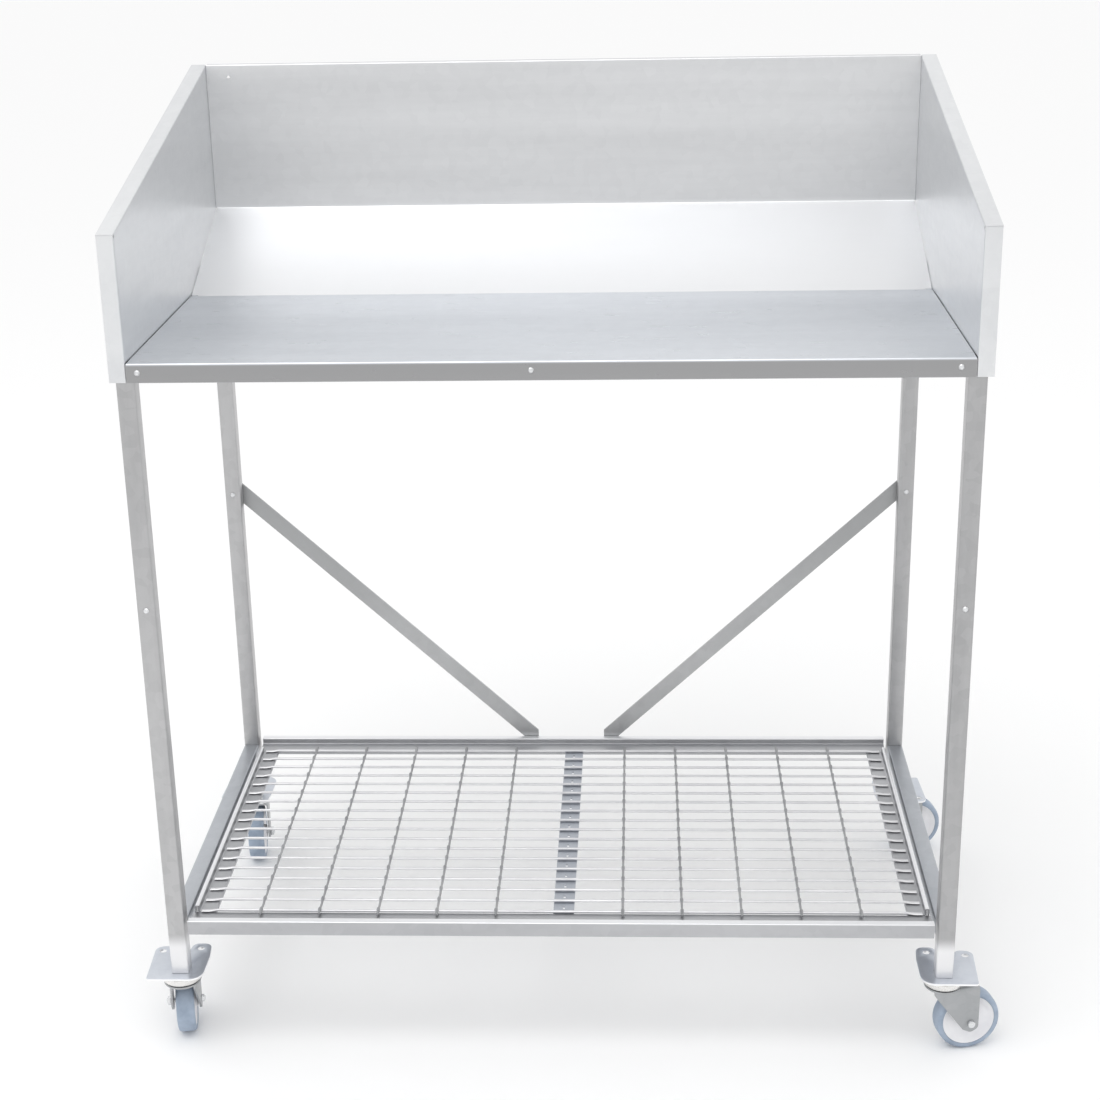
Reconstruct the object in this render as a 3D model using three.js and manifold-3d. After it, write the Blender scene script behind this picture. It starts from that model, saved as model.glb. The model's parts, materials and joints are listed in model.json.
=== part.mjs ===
// A potting bench of galvanised steel on four swivel castors: a three-sided tray with a sloping
// back, four square legs, a framed wire shelf and two flat-bar braces behind. Millimetres, +Z up,
// +X to the right of a person standing at the open front, +Y away from them.

import * as THREE from "three";
import { mergeVertices } from "three/addons/utils/BufferGeometryUtils.js";
import Module from "manifold-3d";

const wasm = await Module();
wasm.setup();

// ---- driving dimensions ----

const GAP = 0.3; // between faces that meet
const SHEET = 1.2; // tray and wall sheet

const LEGS_WIDTH = 902; // outside to outside, along X
const LEGS_DEPTH = 502; // outside to outside, along Y
const TUBE = 20; // every square tube
const TUBE_WALL = 1.5;

const CASTOR_HEIGHT = 97; // floor to the top of the castor plate
const TRAY_TOP = 826; // upper face of the tray floor
const WALL_IN = 439; // inner face of each side wall, from the middle
const FLANGE = 18; // outward fold along each wall's edges
const LIP = 20.4; // downward fold at the front and sides of the tray
const REAR_TURN = 8; // inward fold at each wall's rear edge
const WALL_FRONT = 135; // height of each wall at the front
const WALL_BACK = 250; // height of each wall and of the back panel
const SLOPE_FOOT_Y = 75; // where the sloping back meets the tray floor
const SLOPE_RISE = 73; // how high the slope climbs before the back turns upright
const PILOT_HOLE = [-411.5, TRAY_TOP + WALL_BACK - 15]; // in the upper left corner of the back
const PILOT_RADIUS = 1.6;
const TOP_HEM = 10; // fold along the back panel's upper edge
const FOOT_FOLD = 14; // fold along its lower edge, under the tray floor
const RAIL_SHEET = 1.5; // sheet of the shelf frame

const SHELF_TOP = 166; // upper edge of the shelf frame
const SHELF_STEP = 8; // drop from that edge to the ledge that carries the wires
const SHELF_FACE = 17.2; // height of the shelf frame's outer face
const SHELF_HALF_X = 427; // outer half width of the shelf frame
const EDGE = 10; // width of the front and rear sections' upper edge
const LEDGE = 26; // depth of their ledges
const SIDE_EDGE = 5;
const SIDE_LEDGE = 20;
const LEDGE_LIP = 3.5; // downward fold along every ledge
const SIDE_RAIL_TOP = 161; // top of the tubes beside the shelf

const WIRE = 3.4;
const LONG_WIRES = 18;
const LONG_PITCH = 25.25;
const CROSS_WIRES = 5; // each side of the middle bar
const CROSS_PITCH = 68.6;
const CROSS_FIRST = 73.5;
const WIRE_OVERHANG = 8; // of the cross wires past the outer long wires
const BAR_X = 5; // slotted flat bar under the middle of the wires
const BAR_WIDTH = 24;
const BAR_THICK = 2;
const BAR_SLOT = [2.6, 6.4];

const BRACE_WIDTH = 20;
const BRACE_THICK = 2.5;
const BRACE_FOOT_X = 55; // from the middle to each brace's foot
const BRACE_BEND = 4; // height of the bend above the foot over the shelf frame

const RIVET_SHANK = 2; // radius
const RIVET_HEAD = 3.3;
const RIVET_TAIL = 3;
const LIP_RIVETS_X = [-427, -17, 423];
const LIP_RIVETS_Z = TRAY_TOP - 10;
const FRONT_LEG_RIVET_Z = 550;
const REAR_LEG_RIVET_Z = 524;
const BRACE_FOOT_RIVET_Z = SHELF_TOP - 9;

const WHEEL_RADIUS = 37.5;
const TREAD_HALF = 10.5; // half the tyre's width
const HUB_RADIUS = 30.7;
const HUB_HALF = 13; // half the length of the hub's boss
const AXLE = 3; // radius
const KING_PIN = 4; // radius
const PIN_HEAD = 6.4;
const TRAIL = 30; // from the swivel axis to the axle
const PLATE_THICK = 3;
const RACE_RADIUS = 24; // pressed dish under the plate
const RACE_HEIGHT = 9;
const FORK_SHEET = 2.5;
const FORK_IN = 15; // from the wheel's middle to each cheek
const CROWN_THICK = 3;
const BALL_GAP = 0.5; // between the dish and the fork's crown
const BORE_GAP = 0.3; // round every pin and axle

const halfX = LEGS_WIDTH / 2;
const halfY = LEGS_DEPTH / 2;
const legX = halfX - TUBE / 2;
const legY = halfY - TUBE / 2;
const legTop = TRAY_TOP - SHEET - GAP;
const trayFront = -halfY - GAP - SHEET; // outer face of the front lip
const backY = halfY + 1; // inner face of the upright back
const wallRear = backY + 2 * SHEET + GAP; // the walls' rear edges turn in behind the back
const wallTop = TRAY_TOP + WALL_BACK;
const sheetHalfX = WALL_IN - GAP; // half the width of the floor and the back
const ledgeTop = SHELF_TOP - SHELF_STEP;
const ledgeEndY = halfY - EDGE - LEDGE - GAP; // where the side sections and the bar stop
const braceY = halfY + GAP; // front face of the braces
const plateBottom = CASTOR_HEIGHT - PLATE_THICK;
const crownTop = plateBottom - RACE_HEIGHT - BALL_GAP;
const forkOut = FORK_IN + FORK_SHEET;

const sides = [["left", -1], ["right", 1]];
const ends = [["front", -1], ["rear", 1]];

// ---- materials ----

const material = (color, metalness, roughness) =>
  new THREE.MeshStandardMaterial({ color, metalness, roughness });
const zinc = material(0xb9bec4, 0.85, 0.4);
const sheetZinc = material(0xc9ced6, 0.85, 0.32);
const brightZinc = material(0xd2d4d6, 0.9, 0.3);
const whitePlastic = material(0xe6e4e8, 0, 0.45);
const greyRubber = material(0x8fa0b4, 0, 0.6);

// ---- solids ----

const bench = new THREE.Group();

// Corners go to the nearest 1/1000 mm, so faces meant to be flush are exactly flush.
const ROUNDING = 1000;
const rounded = (value) => Math.round(value * ROUNDING) / ROUNDING;
function toSolid(geometry) {
  const bare = geometry.clone();
  bare.deleteAttribute("normal");
  bare.deleteAttribute("uv");
  const merged = mergeVertices(bare, 1e-4);
  return new wasm.Manifold(new wasm.Mesh({
    numProp: 3,
    vertProperties: Float32Array.from(merged.attributes.position.array, rounded),
    triVerts: Uint32Array.from(merged.index.array),
  }));
}

function toGeometry(solid) {
  const { vertProperties, triVerts } = solid.asOriginal().simplify(0.001).getMesh();
  const geometry = new THREE.BufferGeometry();
  geometry.setAttribute("position", new THREE.BufferAttribute(Float32Array.from(vertProperties), 3));
  geometry.setIndex(new THREE.BufferAttribute(Uint32Array.from(triVerts), 1));
  geometry.computeVertexNormals();
  return geometry;
}

const join = (solids) => solids.reduce((sum, solid) => sum.add(solid));
const asSolid = (shape) => (shape instanceof THREE.BufferGeometry ? toSolid(shape) : shape);
const cut = (shape, tools) => tools.reduce((rest, tool) => rest.subtract(tool), asSolid(shape));
const ordered = (a, b) => [Math.min(a, b), Math.max(a, b)];

function box([x0, x1], [y0, y1], [z0, z1]) {
  const geometry = new THREE.BoxGeometry(x1 - x0, y1 - y0, z1 - z0);
  return toSolid(geometry.translate((x0 + x1) / 2, (y0 + y1) / 2, (z0 + z1) / 2));
}

// A flat outline pushed `length` along +Z, its curves drawn with `segments` steps.
function plate(points, length, segments = 6) {
  const isShape = points instanceof THREE.Shape;
  const shape = isShape ? points : new THREE.Shape(points.map((p) => new THREE.Vector2(...p)));
  const settings = { depth: length, bevelEnabled: false, curveSegments: segments };
  return new THREE.ExtrudeGeometry(shape, settings);
}

// An outline drawn in (y, z) pushed along X, and one drawn in (x, z) pushed along Y.
const yzToXyz = new THREE.Matrix4().set(0, 0, 1, 0, 1, 0, 0, 0, 0, 1, 0, 0, 0, 0, 0, 1);
const alongX = (points, x0, x1) => plate(points, x1 - x0).applyMatrix4(yzToXyz).translate(x0, 0, 0);
const alongY = (points, y0, y1) =>
  plate(points, y1 - y0).rotateX(Math.PI / 2).translate(0, y1, 0);

function rod(radius, length, sides = 10) {
  return new THREE.CylinderGeometry(radius, radius, length, sides).rotateX(Math.PI / 2);
}

// A solid of revolution about Y from [radius, height] points, listed from the bottom up.
const turned = (profile, sides) =>
  new THREE.LatheGeometry(profile.map((p) => new THREE.Vector2(...p)), sides);

// A path of (a, b) points moved sideways by `distance` to its left, corners kept sharp.
function shifted(path, distance) {
  return path.map(([a, b], i) => {
    const before = path[Math.max(i - 1, 0)];
    const after = path[Math.min(i + 1, path.length - 1)];
    const arriving = i === 0 ? [after[0] - a, after[1] - b] : [a - before[0], b - before[1]];
    const leaving = i === path.length - 1 ? arriving : [after[0] - a, after[1] - b];
    const [n, m] = [arriving, leaving].map(([u, v]) => [-v / Math.hypot(u, v), u / Math.hypot(u, v)]);
    const reach = distance / (1 + n[0] * m[0] + n[1] * m[1]);
    return [a + (n[0] + m[0]) * reach, b + (n[1] + m[1]) * reach];
  });
}

// The section of a folded sheet that lies to the left of `path`.
const folded = (path, thickness) => [...path, ...shifted(path, thickness).reverse()];

function add(name, shape, finish, parent = bench) {
  const geometry = shape instanceof THREE.BufferGeometry ? shape : toGeometry(shape);
  const mesh = new THREE.Mesh(geometry, finish.clone());
  mesh.name = name;
  parent.add(mesh);
  return mesh;
}

// A round hole's cutter along Y, for a rivet's shank.
const drill = (x, y, z, length = 8) =>
  toSolid(rod(RIVET_SHANK + BORE_GAP / 2, length).rotateX(Math.PI / 2).translate(x, y, z));

// ---- legs and frame tubes ----

function tube(length) {
  const square = (r) => [[-r, -r], [r, -r], [r, r], [-r, r]].map((p) => new THREE.Vector2(...p));
  const section = new THREE.Shape(square(TUBE / 2));
  section.holes.push(new THREE.Path(square(TUBE / 2 - TUBE_WALL)));
  return plate(section, length);
}

// The rear rivets go right through the leg, the front ones through its face only.
function leg(sx, sy) {
  const bottom = CASTOR_HEIGHT + GAP;
  const post = toSolid(tube(legTop - bottom).translate(sx * legX, sy * legY, bottom));
  const hole = sy > 0
    ? drill(sx * legX, legY, REAR_LEG_RIVET_Z, TUBE + 4)
    : drill(sx * legX, -halfY, FRONT_LEG_RIVET_Z);
  return cut(post, [hole]);
}

function crossTube(sy, z) {
  const length = 2 * (legX - TUBE / 2 - GAP);
  return toSolid(tube(length).rotateY(Math.PI / 2).translate(-length / 2, sy * legY, z));
}

function sideTube(sx, z) {
  const length = 2 * (legY - TUBE / 2 - GAP);
  return tube(length).rotateX(-Math.PI / 2).translate(sx * legX, -length / 2, z);
}

const lipHoles = LIP_RIVETS_X.map((x) => drill(x, -halfY, LIP_RIVETS_Z));
const trayTubeZ = legTop - TUBE / 2;
for (const [end, sy] of ends) {
  for (const [side, sx] of sides) add(`${end}_${side}_leg`, leg(sx, sy), zinc);
  add(`tray_frame_${end}_rail`, cut(crossTube(sy, trayTubeZ), sy < 0 ? lipHoles : []), zinc);
}
for (const [side, sx] of sides) {
  add(`tray_frame_${side}_rail`, sideTube(sx, trayTubeZ), zinc);
  add(`lower_${side}_rail`, sideTube(sx, SIDE_RAIL_TOP - TUBE / 2), zinc);
}

// ---- tray: floor, two side walls, folded back ----

// The back leans at the same slant from its foot all the way to its upright part.
const slant = (backY - SLOPE_FOOT_Y) / SLOPE_RISE;
const underFloor = TRAY_TOP - SHEET - GAP;

// The floor ends in front of the slanting back, whose foot is folded forward underneath it.
function trayFloor() {
  const rear = SLOPE_FOOT_Y - (SHEET + 2 * GAP) * slant;
  const path = [
    [trayFront + SHEET, TRAY_TOP - LIP], [trayFront + SHEET, TRAY_TOP - SHEET], [rear, TRAY_TOP - SHEET],
  ];
  return cut(toSolid(alongX(folded(path, SHEET), -sheetHalfX, sheetHalfX)), lipHoles);
}

function backPanel() {
  const foot = SLOPE_FOOT_Y - (SHEET + GAP) * slant;
  const path = [
    [backY + TOP_HEM, wallTop], [backY, wallTop], [backY, TRAY_TOP + SLOPE_RISE], [foot, underFloor],
    [foot - FOOT_FOLD, underFloor],
  ];
  const sheet = toSolid(alongX(folded(path, SHEET), -sheetHalfX, sheetHalfX));
  const besideTube = halfX - TUBE - GAP; // the foot stops short of the tubes under the tray's sides
  const notchY = [foot - 2 * FOOT_FOLD, backY];
  const notchZ = [underFloor - 2 * SHEET, underFloor + GAP / 2];
  const notches = sides.map(([, sx]) => box(ordered(sx * besideTube, sx * WALL_IN), notchY, notchZ));
  const [pilotX, pilotZ] = PILOT_HOLE;
  const pilotHole = toSolid(rod(PILOT_RADIUS, 8).rotateX(Math.PI / 2).translate(pilotX, backY, pilotZ));
  return cut(sheet, [...notches, pilotHole]);
}

// One wall: an upright sheet with a flange down its front edge, one along its sloping top, one along
// its foot that turns down beside the tube, and a narrow turn inward behind the upright back.
function sideWall(sx) {
  const bite = SHEET / 2; // how far the sheet's edges run into the folds around it
  const frontTop = TRAY_TOP + WALL_FRONT;
  const out = WALL_IN + FLANGE;
  const span = ordered(sx * WALL_IN, sx * out);
  const sheet = [
    [trayFront + bite, TRAY_TOP - bite], [wallRear, TRAY_TOP - bite], [wallRear, wallTop - bite],
    [trayFront + bite, frontTop - bite],
  ];
  const topEdge = [[trayFront, frontTop], [wallRear, wallTop]];
  const lean = Math.hypot(wallRear - trayFront, wallTop - frontTop) / (wallRear - trayFront);
  const topFlange = [...topEdge, ...topEdge.map(([y, z]) => [y, z - SHEET * lean]).reverse()];
  const turnX = ordered(sx * (WALL_IN - REAR_TURN), sx * (WALL_IN + SHEET));
  return join([
    toSolid(alongX(sheet, ...ordered(sx * WALL_IN, sx * (WALL_IN + SHEET)))),
    box(turnX, [wallRear - SHEET, wallRear], [TRAY_TOP + SLOPE_RISE, wallTop - SHEET - GAP]),
    toSolid(alongX(topFlange, ...span)),
    box(span, [trayFront, trayFront + SHEET], [TRAY_TOP - LIP, frontTop - bite]),
    box(span, [trayFront, wallRear], [TRAY_TOP - SHEET, TRAY_TOP]),
    box(ordered(sx * (out - SHEET), sx * out), [trayFront, wallRear], [TRAY_TOP - LIP, TRAY_TOP]),
  ]);
}

add("tray_floor", trayFloor(), sheetZinc);
add("back_panel", backPanel(), sheetZinc);
for (const [side, sx] of sides) add(`side_wall_${side}`, sideWall(sx), sheetZinc);

// ---- lower shelf ----

// Section of the shelf frame, as distance inward from its outer face and height.
function shelfSection(edge, ledge) {
  const inner = edge + ledge;
  return folded([
    [inner, ledgeTop - LEDGE_LIP], [inner, ledgeTop], [edge, ledgeTop], [edge, SHELF_TOP],
    [0, SHELF_TOP], [0, SHELF_TOP - SHELF_FACE],
  ], RAIL_SHEET);
}

function shelfCrossRail(sy) {
  const outline = shelfSection(EDGE, LEDGE).map(([inward, z]) => [sy * (halfY - inward), z]);
  const rail = toSolid(alongX(outline, -SHELF_HALF_X, SHELF_HALF_X));
  const footHoles = sides.map(([, sx]) => drill(sx * BRACE_FOOT_X, halfY, BRACE_FOOT_RIVET_Z));
  return cut(rail, sy > 0 ? footHoles : []);
}

function shelfSideRail(sx) {
  const outline = shelfSection(SIDE_EDGE, SIDE_LEDGE).map(([inward, z]) => [sx * (SHELF_HALF_X - inward), z]);
  return alongY(outline, -ledgeEndY, ledgeEndY);
}

const longWireY = (i) => (i - (LONG_WIRES - 1) / 2) * LONG_PITCH;

// The bar has one slot in the middle of each gap between two long wires.
function middleBar() {
  const [across, along] = BAR_SLOT;
  const slotX = [BAR_X - across / 2, BAR_X + across / 2];
  const slotZ = [ledgeTop - 2 * BAR_THICK, ledgeTop + 1];
  const slots = [];
  for (let i = 0; i < LONG_WIRES - 1; i += 1) {
    const y = longWireY(i) + LONG_PITCH / 2;
    slots.push(box(slotX, [y - along / 2, y + along / 2], slotZ));
  }
  const bar = box(
    [BAR_X - BAR_WIDTH / 2, BAR_X + BAR_WIDTH / 2], [-ledgeEndY, ledgeEndY], [ledgeTop - BAR_THICK, ledgeTop],
  );
  return cut(bar, slots);
}

// Long wires lie on the side ledges, and the cross wires are set half their thickness into them.
function wireMesh() {
  const low = ledgeTop + GAP;
  const crossZ = [low + WIRE / 2, low + 1.5 * WIRE];
  const longHalf = SHELF_HALF_X - SIDE_EDGE - RAIL_SHEET - 2;
  const crossHalf = longWireY(LONG_WIRES - 1) + WIRE_OVERHANG;
  const wires = [];
  for (let i = 0; i < LONG_WIRES; i += 1) {
    const y = longWireY(i);
    wires.push(box([-longHalf, longHalf], [y - WIRE / 2, y + WIRE / 2], [low, low + WIRE]));
  }
  for (const [, sx] of sides) {
    for (let i = 0; i < CROSS_WIRES; i += 1) {
      const x = sx * (CROSS_FIRST + i * CROSS_PITCH);
      wires.push(box([x - WIRE / 2, x + WIRE / 2], [-crossHalf, crossHalf], crossZ));
    }
  }
  return join(wires);
}

for (const [end, sy] of ends) add(`shelf_${end}_rail`, shelfCrossRail(sy), zinc);
for (const [side, sx] of sides) add(`shelf_${side}_rail`, shelfSideRail(sx), zinc);
add("shelf_middle_bar", middleBar(), zinc);
add("shelf_wire_mesh", wireMesh(), brightZinc);

// ---- braces behind the rear legs ----

// A flat bar from behind the leg down to an upright foot behind the shelf frame, trimmed at the leg.
function brace(sx) {
  const bend = SHELF_TOP + BRACE_BEND;
  const pitch = (REAR_LEG_RIVET_Z + BRACE_BEND - bend) / (legX - BRACE_FOOT_X);
  const beyond = legX + BRACE_WIDTH;
  const middle = [
    [sx * beyond, bend + (beyond - BRACE_FOOT_X) * pitch], [sx * BRACE_FOOT_X, bend],
    [sx * BRACE_FOOT_X, SHELF_TOP - SHELF_FACE],
  ];
  const outline = [...shifted(middle, BRACE_WIDTH / 2), ...shifted(middle, -BRACE_WIDTH / 2).reverse()];
  return cut(toSolid(alongY(outline, braceY, braceY + BRACE_THICK)), [
    box(ordered(sx * halfX, sx * 2 * halfX), [0, 2 * halfY], [0, TRAY_TOP]),
    drill(sx * legX, braceY, REAR_LEG_RIVET_Z),
    drill(sx * BRACE_FOOT_X, braceY, BRACE_FOOT_RIVET_Z),
  ]);
}

for (const [side, sx] of sides) add(`rear_${side}_brace`, brace(sx), zinc);

// ---- rivets ----

// A blind rivet through `grip` mm of metal, its head on the face at y and looking along `facing` Y.
function rivet([x, y, z], facing, grip) {
  const profile = [
    [0, -grip - 1], [RIVET_TAIL, -grip], [RIVET_SHANK, -grip], [RIVET_SHANK, 0], [RIVET_HEAD, 0],
    [RIVET_HEAD * 2 / 3, 1.3], [0, 1.8],
  ];
  return turned(profile, 10).rotateX(facing > 0 ? 0 : Math.PI).translate(x, y + facing * GAP, z);
}

const lipGrip = SHEET + TUBE_WALL + 3 * GAP;
const legGrip = TUBE_WALL + 2 * GAP;
const braceTopGrip = TUBE + BRACE_THICK + 3 * GAP;
const braceFootGrip = BRACE_THICK + RAIL_SHEET + 3 * GAP;
LIP_RIVETS_X.forEach((x, i) => {
  add(`tray_lip_rivet_${i + 1}`, rivet([x, trayFront, LIP_RIVETS_Z], -1, lipGrip), brightZinc);
});
for (const [side, sx] of sides) {
  const topAt = [sx * legX, legY - TUBE / 2, REAR_LEG_RIVET_Z];
  const footAt = [sx * BRACE_FOOT_X, braceY + BRACE_THICK, BRACE_FOOT_RIVET_Z];
  add(`front_${side}_leg_rivet`, rivet([sx * legX, -halfY, FRONT_LEG_RIVET_Z], -1, legGrip), brightZinc);
  add(`rear_${side}_brace_top_rivet`, rivet(topAt, -1, braceTopGrip), brightZinc);
  add(`rear_${side}_brace_foot_rivet`, rivet(footAt, 1, braceFootGrip), brightZinc);
}

// ---- castors ----

const uprightHole = (x, y, radius, length, z) => toSolid(rod(radius, length, 12).translate(x, y, z));

// The top plate seen from above, with the leg at (0, 0), +X outward and +Y inward along the bench:
// two ears with open bolt holes reach inward, and the dish for the balls is pressed out below.
function castorPlate() {
  const ears = [[-13, 46, 4], [31, 42, 4]];
  const outline = new THREE.Shape();
  outline.moveTo(-12, -22);
  outline.lineTo(37.5, -22);
  outline.lineTo(40, 38);
  outline.absarc(30, 43, 10.5, 0.1, 2.6);
  outline.lineTo(14, 34);
  outline.lineTo(2, 36);
  outline.absarc(-13, 46, 11, 0.3, 2.9);
  outline.lineTo(-27, 32);
  outline.lineTo(-27, -7);
  const dishBottom = plateBottom - RACE_HEIGHT;
  const dish = turned([
    [0, dishBottom], [RACE_RADIUS - 5, dishBottom], [RACE_RADIUS, dishBottom + RACE_HEIGHT / 2],
    [RACE_RADIUS - 2, plateBottom + 1], [0, plateBottom + 1],
  ], 20).rotateX(Math.PI / 2);
  const holes = ears.map(([x, y, radius]) => uprightHole(x, y, radius, 4 * PLATE_THICK, plateBottom));
  const bore = uprightHole(0, 0, KING_PIN + BORE_GAP, 4 * RACE_HEIGHT, plateBottom);
  const sheet = toSolid(plate(outline, PLATE_THICK).translate(0, 0, plateBottom));
  return cut(join([sheet, toSolid(dish)]), [bore, ...holes]);
}

// The fork with its swivel axis at (0, 0) and the axle TRAIL away along +X.
function castorFork() {
  const boss = 9;
  const cheek = new THREE.Shape();
  cheek.moveTo(-15, crownTop);
  cheek.lineTo(-13, crownTop - 8);
  cheek.absarc(TRAIL, WHEEL_RADIUS, boss, -2.5, 0);
  cheek.lineTo(TRAIL + boss, crownTop);
  const cheeks = [FORK_IN, -forkOut].map((y) => toSolid(alongY(cheek, y, y + FORK_SHEET)));
  const crown = uprightHole(0, 0, RACE_RADIUS - 3, CROWN_THICK, crownTop - CROWN_THICK / 2);
  const roof = box([0, TRAIL + boss], [-forkOut, forkOut], [crownTop - CROWN_THICK, crownTop]);
  const pinBore = uprightHole(0, 0, KING_PIN + BORE_GAP, 4 * CROWN_THICK, crownTop);
  const axleBore = rod(AXLE + BORE_GAP, 4 * forkOut).rotateX(Math.PI / 2).translate(TRAIL, 0, WHEEL_RADIUS);
  return cut(join([crown, roof, ...cheeks]), [pinBore, toSolid(axleBore)]);
}

// Headed at both ends, it holds the fork's crown up against the plate.
function kingPin() {
  const underCrown = crownTop - CROWN_THICK - GAP;
  const overPlate = CASTOR_HEIGHT + GAP;
  return turned([
    [0, underCrown - 4.2], [PIN_HEAD - 1, underCrown - 3.7], [PIN_HEAD, underCrown], [KING_PIN, underCrown],
    [KING_PIN, overPlate], [PIN_HEAD, overPlate], [PIN_HEAD - 0.4, overPlate + 3.2], [0, overPlate + 3.7],
  ], 10).rotateX(Math.PI / 2);
}

// A turned part whose profile has the same upper and lower half, moved onto the axle.
function onAxle(lowerHalf, steps) {
  const section = [...lowerHalf, ...lowerHalf.map(([r, h]) => [r, -h]).reverse()];
  return turned([...section, section[0]], steps).translate(TRAIL, 0, WHEEL_RADIUS);
}

const hub = () => onAxle([
  [AXLE + BORE_GAP, -HUB_HALF], [8, -HUB_HALF], [11, -7], [25, -7], [HUB_RADIUS, -TREAD_HALF + 0.5],
], 20);
const tyre = () => onAxle([
  [HUB_RADIUS + GAP, -TREAD_HALF], [WHEEL_RADIUS - 2, -TREAD_HALF], [WHEEL_RADIUS, -TREAD_HALF / 2],
], 28);

const NUT_THICK = 4.5;
const boltStart = -forkOut - GAP;
const boltEnd = forkOut + GAP + NUT_THICK + 1.5;
const axleBolt = () => turned([
  [0, boltStart - 4], [4, boltStart - 3.5], [4.6, boltStart - 1], [4.6, boltStart],
  [AXLE, boltStart], [AXLE, boltEnd], [0, boltEnd],
], 10).translate(TRAIL, 0, WHEEL_RADIUS);

function axleNut() {
  const hexagon = toSolid(rod(5.6, NUT_THICK, 6));
  const bored = cut(hexagon, [toSolid(rod(AXLE + BORE_GAP, 2 * NUT_THICK))]);
  return bored.rotate([90, 0, 0]).translate([TRAIL, forkOut + GAP + NUT_THICK / 2, WHEEL_RADIUS]);
}

// How each castor happens to stand: the angle from +X toward +Y at which its axle trails the leg.
const castors = [
  { corner: "front_left", sx: -1, sy: -1, degrees: 100 },
  { corner: "front_right", sx: 1, sy: -1, degrees: 12 },
  { corner: "rear_left", sx: -1, sy: 1, degrees: -83 },
  { corner: "rear_right", sx: 1, sy: 1, degrees: 10 },
];

for (const { corner, sx, sy, degrees } of castors) {
  const top = castorPlate().scale([sx, -sy, 1]).translate([sx * legX, sy * legY, 0]);
  add(`${corner}_castor_plate`, top, brightZinc);
  add(`${corner}_castor_pin`, kingPin().translate(sx * legX, sy * legY, 0), zinc);
  const swivel = new THREE.Group();
  swivel.position.set(sx * legX, sy * legY, 0);
  swivel.rotation.z = THREE.MathUtils.degToRad(degrees);
  bench.add(swivel);
  add(`${corner}_castor_fork`, castorFork(), zinc, swivel);
  add(`${corner}_castor_axle`, axleBolt(), brightZinc, swivel);
  add(`${corner}_castor_nut`, axleNut(), brightZinc, swivel);
  add(`${corner}_castor_hub`, hub(), whitePlastic, swivel);
  add(`${corner}_castor_tyre`, tyre(), greyRubber, swivel);
}

// Stand the bench with its lowest point on the floor and its box centred on the origin.
const extent = new THREE.Box3().setFromObject(bench, true);
const centre = extent.getCenter(new THREE.Vector3());
bench.position.set(-centre.x, -centre.y, -extent.min.z);

export default bench;
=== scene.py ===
# A potting bench of galvanised steel on four swivel castors. Metres, with the floor at z = 0,
# +X to the right of a person standing at the open front of the tray and +Y away from them.

import json
import math

import bmesh
import bpy
from mathutils import Matrix, Vector


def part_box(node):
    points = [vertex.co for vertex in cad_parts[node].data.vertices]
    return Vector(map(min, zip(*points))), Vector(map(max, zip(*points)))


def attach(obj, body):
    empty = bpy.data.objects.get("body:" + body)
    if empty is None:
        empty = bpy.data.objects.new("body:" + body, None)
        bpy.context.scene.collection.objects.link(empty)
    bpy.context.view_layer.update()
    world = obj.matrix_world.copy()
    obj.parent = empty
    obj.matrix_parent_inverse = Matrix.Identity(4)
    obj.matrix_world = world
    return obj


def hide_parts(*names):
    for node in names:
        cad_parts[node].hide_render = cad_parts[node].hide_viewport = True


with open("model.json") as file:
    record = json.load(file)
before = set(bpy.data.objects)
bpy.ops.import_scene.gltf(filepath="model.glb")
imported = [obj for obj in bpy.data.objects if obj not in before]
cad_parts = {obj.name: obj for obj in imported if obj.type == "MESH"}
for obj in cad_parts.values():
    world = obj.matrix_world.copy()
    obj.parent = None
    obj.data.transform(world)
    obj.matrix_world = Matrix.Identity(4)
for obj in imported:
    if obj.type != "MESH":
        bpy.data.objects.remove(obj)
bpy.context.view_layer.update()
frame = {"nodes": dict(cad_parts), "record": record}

# ---- The bench's own place: the tray is set out from the middle of the four legs, and the legs'
# outer corners fix that middle. Everything below is measured from it in millimetres.

MM = 0.001
FRONT_LEFT, REAR_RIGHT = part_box("front_left_leg")[0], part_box("rear_right_leg")[1]
MIDDLE = Vector(((FRONT_LEFT[0] + REAR_RIGHT[0]) / 2, (FRONT_LEFT[1] + REAR_RIGHT[1]) / 2, 0))


def at(x, y, z):
    """A point given in millimetres from the middle of the legs, in metres in the row frame."""
    return MIDDLE + Vector((x, y, z)) * MM


# ---- Viewpoint: a standing person's view from just right of the middle, looking slightly down.

EYE = at(92.2, -2229.1, 1330.2)
TURN, TILT, LEAN = math.radians(2.696), math.radians(70.24), math.radians(-1.105)
camera_data = bpy.data.cameras.new("viewpoint")
camera_data.sensor_width = 36
camera_data.lens = 64.73
camera = bpy.data.objects.new("viewpoint", camera_data)
aim = Matrix.Rotation(TURN, 4, "Z") @ Matrix.Rotation(TILT, 4, "X") @ Matrix.Rotation(LEAN, 4, "Z")
camera.matrix_world = Matrix.Translation(EYE) @ aim
bpy.context.collection.objects.link(camera)
bpy.context.scene.camera = camera

# ---- Studio: a white floor that runs out of sight, an even bright sky and one large soft lamp
# overhead.

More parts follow.
